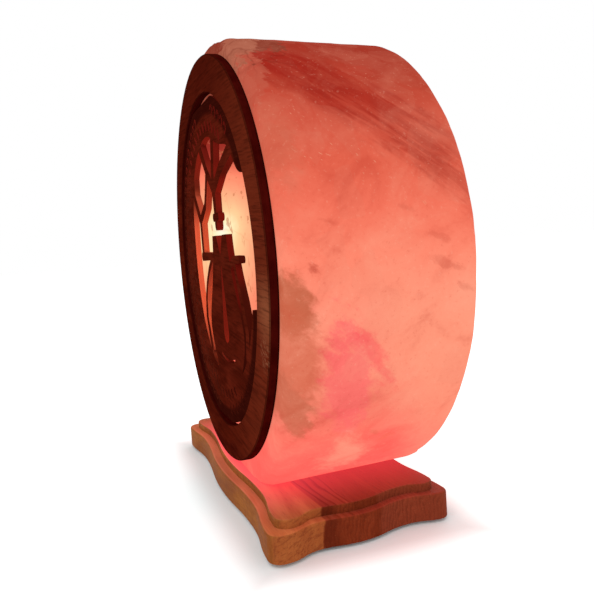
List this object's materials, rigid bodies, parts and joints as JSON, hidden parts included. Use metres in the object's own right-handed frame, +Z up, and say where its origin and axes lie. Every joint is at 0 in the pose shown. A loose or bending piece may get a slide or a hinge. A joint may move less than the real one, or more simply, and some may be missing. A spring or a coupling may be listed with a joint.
{
  "type": "salt crystal lamp",
  "caption": "Round salt crystal lamp: a hollowed salt drum on a wavy wooden base, with a wooden ring, a fretwork panel and a small lamp in its cavity.",
  "frame": {"origin": "bottom centre of the whole lamp, on the surface that it stands on", "axes": "+X to the right as seen from the front, +Y from the fretwork front to the back, +Z up"},
  "size_m": [0.2198, 0.091, 0.2258],
  "materials": {
    "salt": "ground and polished rock salt, glowing from within",
    "ring_wood": "dark stain, satin",
    "panel_wood": "dark stain, satin, cut edges lighter",
    "base_wood": "oiled hardwood with a dark heart stripe",
    "adhesive": "clear silicone",
    "pad_rubber": "matt",
    "zinc_steel": "zinc plated",
    "plug_nylon": "moulded nylon",
    "holder_plastic": "moulded phenolic",
    "insert_ceramic": "unglazed",
    "brass": "bright",
    "spring_steel": "spring temper, bright",
    "grommet_rubber": "matt",
    "bulb_glass": "clear",
    "cap_metal": "drawn",
    "insulator_glass": "black vitreous",
    "solder": "dull",
    "filament_wire": "drawn tungsten"
  },
  "bodies": {
    "lamp_body": {"salt_drum": "salt", "front_ring": "ring_wood", "fretwork_panel": "panel_wood", "base_board": "base_wood", "ring_adhesive": "adhesive", "panel_adhesive": "adhesive", "foot_pads": "pad_rubber", "base_screws": "zinc_steel", "screw_washers": "zinc_steel", "salt_plugs": "plug_nylon", "holder_cap": "holder_plastic", "holder_body": "holder_plastic", "holder_insert": "insert_ceramic", "screw_shell": "brass", "centre_contact": "brass", "terminal_screws": "zinc_steel", "holder_spring": "spring_steel", "cord_grommet": "grommet_rubber"},
    "bulb_lift": {"bulb_contact": "solder", "bulb_insulator": "insulator_glass"},
    "bulb": {"bulb_cap": "cap_metal", "bulb_glass": "bulb_glass", "filament_stem": "bulb_glass", "filament": "filament_wire"}
  },
  "joints": [
    {"name": "bulb_rise", "type": "slide", "parent": "lamp_body", "child": "bulb_lift", "axis": [0, 0, 1], "range_m": [0, 0.00846]},
    {"name": "bulb_turn", "type": "hinge", "parent": "bulb_lift", "child": "bulb", "pos_m": [0, -0.0095, 0.034], "axis": [0, 0, 1], "range_deg": [0, 1080]}
  ],
  "couplings": [
    {"joint": "bulb_rise", "follows": "bulb_turn", "m_per_rad": 0.00044882}
  ]
}
